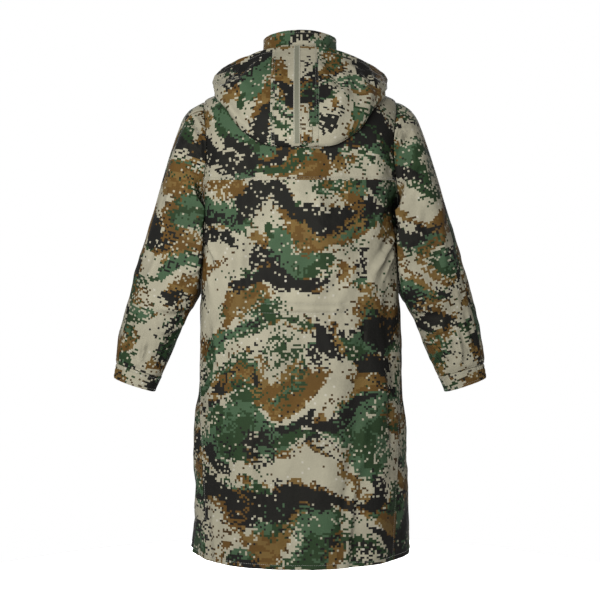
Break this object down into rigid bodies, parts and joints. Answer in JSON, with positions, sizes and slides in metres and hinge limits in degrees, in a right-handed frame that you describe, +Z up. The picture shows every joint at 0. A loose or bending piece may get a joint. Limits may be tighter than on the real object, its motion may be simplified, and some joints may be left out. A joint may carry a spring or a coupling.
{
  "type": "long hooded windbreaker",
  "caption": "Knee-length hooded rain coat with a stand collar, back yoke, closed front zip and elastic cuffs, held open as if worn, with its hood down.",
  "frame": {"origin": "middle of the neck opening at the height of the nape seam, where the wearer's neck and shoulders carry the coat", "axes": "+X is the wearer's left, +Y points out of the back, -Y out of the front, +Z is up"},
  "size_m": [0.8424, 0.3477, 1.1554],
  "materials": {
    "camouflage_cloth": "coated semi-matt cloth with a soft sheen, blocky woodland camouflage in sand, light grey, green, brown and charcoal",
    "khaki_tape": "woven tape, olive middle with lighter edges",
    "dark_elastic": "gathered cloth over elastic, fine ribs",
    "olive_zip_tape": "woven zip tape with moulded teeth",
    "dark_zip_metal": "dark plated, satin"
  },
  "bodies": {
    "coat": {"back_yoke": "camouflage_cloth", "back_panel": "camouflage_cloth", "front_left": "camouflage_cloth", "front_right": "camouflage_cloth", "sleeve_back_left": "camouflage_cloth", "sleeve_back_right": "camouflage_cloth", "sleeve_front_left": "camouflage_cloth", "sleeve_front_right": "camouflage_cloth", "cuff_band_left": "camouflage_cloth", "cuff_band_right": "camouflage_cloth", "collar": "camouflage_cloth", "hood_left": "camouflage_cloth", "hood_centre": "camouflage_cloth", "hood_right": "camouflage_cloth", "hood_strap": "camouflage_cloth", "hood_patch": "camouflage_cloth", "hood_tape": "khaki_tape", "cuff_elastic_left": "dark_elastic", "cuff_elastic_right": "dark_elastic", "zip_tape_left": "olive_zip_tape", "zip_tape_right": "olive_zip_tape", "zip_slider": "dark_zip_metal", "zip_box": "dark_zip_metal"},
    "pull": {"zip_pull": "dark_zip_metal"}
  },
  "joints": [
    {"name": "pull_swing", "type": "hinge", "parent": "coat", "child": "pull", "pos_m": [0, -0.0828, -0.01], "axis": [-1, 0, 0], "range_deg": [0, 150]}
  ]
}
